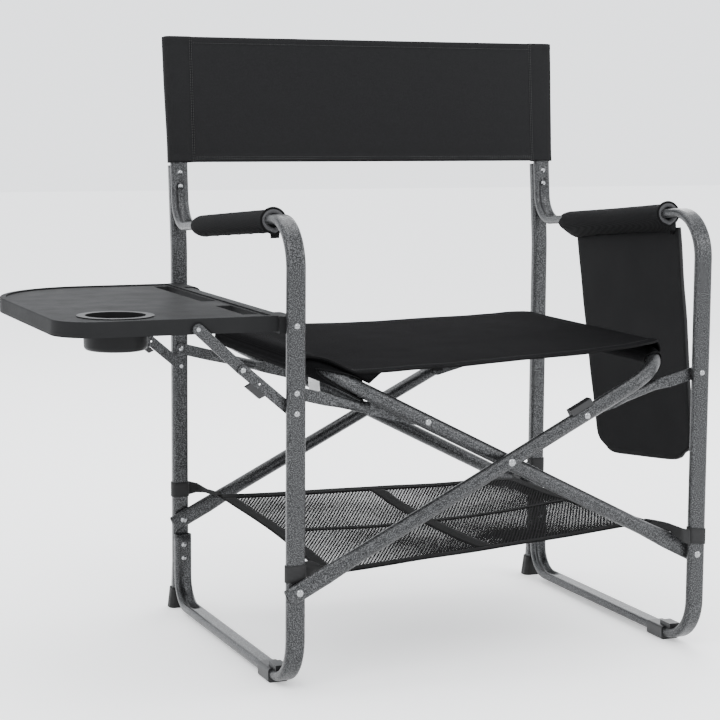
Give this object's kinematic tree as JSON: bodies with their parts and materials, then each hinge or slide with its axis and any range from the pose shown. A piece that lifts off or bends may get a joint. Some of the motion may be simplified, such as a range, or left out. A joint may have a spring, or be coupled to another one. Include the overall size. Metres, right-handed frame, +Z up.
{
  "type": "folding director chair",
  "caption": "Folding director chair with scissor seat bars, fabric seat and back, padded arms, a drop-down side table with cup holder, a side pocket and a net shelf.",
  "frame": {"origin": "middle of the footprint on the floor", "axes": "+Z up, +Y to the back of the chair, +X away from the side table"},
  "size_m": [1.0274, 0.6026, 0.937],
  "materials": {
    "frame_tube": "glossy dark grey hammertone enamel on steel",
    "zinc": "bright zinc plate",
    "black_plastic": "matt moulded",
    "rubber_foot": "matt rubber",
    "pad_foam": "foam covered with plain black polyester",
    "tray_plastic": "satin moulded, fine grain",
    "canvas": "tight plain-weave black polyester",
    "netting": "open black mesh with solid hems",
    "webbing": "ribbed black webbing"
  },
  "bodies": {
    "left_frame": {"left_side_loop": "frame_tube", "left_rear_post": "frame_tube", "left_post_cap": "black_plastic", "left_rear_foot": "rubber_foot", "left_front_glide": "black_plastic", "left_frame_rivets": "zinc", "left_pivot_rivets": "zinc", "left_pivot_washers": "black_plastic", "left_arm_pad": "pad_foam", "left_back_sleeve": "canvas", "left_net_straps": "webbing", "tray_hinge_screws": "zinc", "strut_foot_rivets": "zinc", "back_panel": "canvas", "storage_net": "netting"},
    "right_bar": {"right_seat_bar": "frame_tube", "right_bar_link_rivets": "zinc", "right_seat_sleeve": "canvas", "crossing_rivets": "zinc", "crossing_washers": "black_plastic", "fold_stop": "black_plastic", "seat_panel": "canvas"},
    "left_bar": {"left_seat_bar": "frame_tube", "left_bar_link_rivets": "zinc", "left_seat_sleeve": "canvas"},
    "right_frame": {"right_side_loop": "frame_tube", "right_rear_post": "frame_tube", "right_post_cap": "black_plastic", "right_rear_foot": "rubber_foot", "right_front_glide": "black_plastic", "right_frame_rivets": "zinc", "right_pivot_rivets": "zinc", "right_pivot_washers": "black_plastic", "right_arm_pad": "pad_foam", "right_back_sleeve": "canvas", "right_net_straps": "webbing", "side_pocket": "canvas", "side_pocket_inner_wall": "canvas", "side_pocket_edge": "canvas"},
    "front_left_link": {"front_left_guide_link": "frame_tube"},
    "rear_left_link": {"rear_left_guide_link": "frame_tube"},
    "front_right_link": {"front_right_guide_link": "frame_tube"},
    "rear_right_link": {"rear_right_guide_link": "frame_tube"},
    "table": {"side_table_tray": "tray_plastic", "cup_holder": "tray_plastic"},
    "front_lower_strut": {"front_lower_strut": "frame_tube", "front_elbow_rivet": "zinc"},
    "front_upper_strut": {"front_upper_strut": "frame_tube", "front_strut_head_rivet": "zinc"},
    "front_catch": {"front_strut_catch": "black_plastic"},
    "rear_lower_strut": {"rear_lower_strut": "frame_tube", "rear_elbow_rivet": "zinc"},
    "rear_upper_strut": {"rear_upper_strut": "frame_tube", "rear_strut_head_rivet": "zinc"},
    "rear_catch": {"rear_strut_catch": "black_plastic"}
  },
  "joints": [
    {"name": "fold", "type": "hinge", "parent": "left_frame", "child": "right_bar", "pos_m": [-0.18471, -0.27586, 0.152], "axis": [0, -1, 0], "range_deg": [0, 45.09], "deforming": ["seat_panel", "back_panel", "storage_net"]},
    {"name": "bars_cross", "type": "hinge", "parent": "right_bar", "child": "left_bar", "pos_m": [0.14328, -0.27586, 0.3185], "axis": [0, 1, 0], "range_deg": [0, 90.17]},
    {"name": "right_frame_pivot", "type": "hinge", "parent": "left_bar", "child": "right_frame", "pos_m": [0.47129, -0.27586, 0.152], "axis": [0, -1, 0], "range_deg": [0, 45.09]},
    {"name": "front_left_link_pivot", "type": "hinge", "parent": "left_frame", "child": "front_left_link", "pos_m": [-0.18471, -0.27586, 0.434], "axis": [0, -1, 0], "range_deg": [0, 84.9]},
    {"name": "rear_left_link_pivot", "type": "hinge", "parent": "left_frame", "child": "rear_left_link", "pos_m": [-0.18471, 0.27314, 0.434], "axis": [0, -1, 0], "range_deg": [0, 84.9]},
    {"name": "front_right_link_pivot", "type": "hinge", "parent": "right_frame", "child": "front_right_link", "pos_m": [0.47129, -0.27586, 0.434], "axis": [0, 1, 0], "range_deg": [0, 84.9]},
    {"name": "rear_right_link_pivot", "type": "hinge", "parent": "right_frame", "child": "rear_right_link", "pos_m": [0.47129, 0.27314, 0.434], "axis": [0, 1, 0], "range_deg": [0, 84.9]},
    {"name": "table_fold", "type": "hinge", "parent": "left_frame", "child": "table", "pos_m": [-0.18471, -0.00136, 0.5285], "axis": [0, -1, 0], "range_deg": [0, 90]},
    {"name": "front_strut_foot", "type": "hinge", "parent": "left_frame", "child": "front_lower_strut", "pos_m": [-0.18471, -0.27586, 0.405], "axis": [0, -1, 0], "range_deg": [0, 93.56]},
    {"name": "front_strut_elbow", "type": "hinge", "parent": "front_lower_strut", "child": "front_upper_strut", "pos_m": [-0.25871, -0.27586, 0.468], "axis": [0, 1, 0], "range_deg": [0, 184.27]},
    {"name": "front_catch_turn", "type": "hinge", "parent": "front_lower_strut", "child": "front_catch", "pos_m": [-0.24242, -0.27586, 0.43903], "axis": [0, 1, 0], "range_deg": [0, 12], "stiffness_Nm_per_rad": 0.05},
    {"name": "rear_strut_foot", "type": "hinge", "parent": "left_frame", "child": "rear_lower_strut", "pos_m": [-0.18471, 0.27314, 0.405], "axis": [0, -1, 0], "range_deg": [0, 93.56]},
    {"name": "rear_strut_elbow", "type": "hinge", "parent": "rear_lower_strut", "child": "rear_upper_strut", "pos_m": [-0.25871, 0.27314, 0.468], "axis": [0, 1, 0], "range_deg": [0, 184.27]},
    {"name": "rear_catch_turn", "type": "hinge", "parent": "rear_lower_strut", "child": "rear_catch", "pos_m": [-0.24242, 0.27314, 0.43903], "axis": [0, 1, 0], "range_deg": [0, 12], "stiffness_Nm_per_rad": 0.05}
  ],
  "couplings": [
    {"joint": "bars_cross", "follows": "fold", "ratio": 2},
    {"joint": "right_frame_pivot", "follows": "fold", "ratio": 1},
    {"joint": "front_left_link_pivot", "follows": "fold", "ratio": 1.8829},
    {"joint": "rear_left_link_pivot", "follows": "fold", "ratio": 1.8829},
    {"joint": "front_right_link_pivot", "follows": "fold", "ratio": 1.8829},
    {"joint": "rear_right_link_pivot", "follows": "fold", "ratio": 1.8829},
    {"joint": "front_strut_foot", "follows": "table_fold", "ratio": 1.0396},
    {"joint": "front_strut_elbow", "follows": "table_fold", "ratio": 2.0474},
    {"joint": "rear_strut_foot", "follows": "table_fold", "ratio": 1.0396},
    {"joint": "rear_strut_elbow", "follows": "table_fold", "ratio": 2.0474}
  ]
}
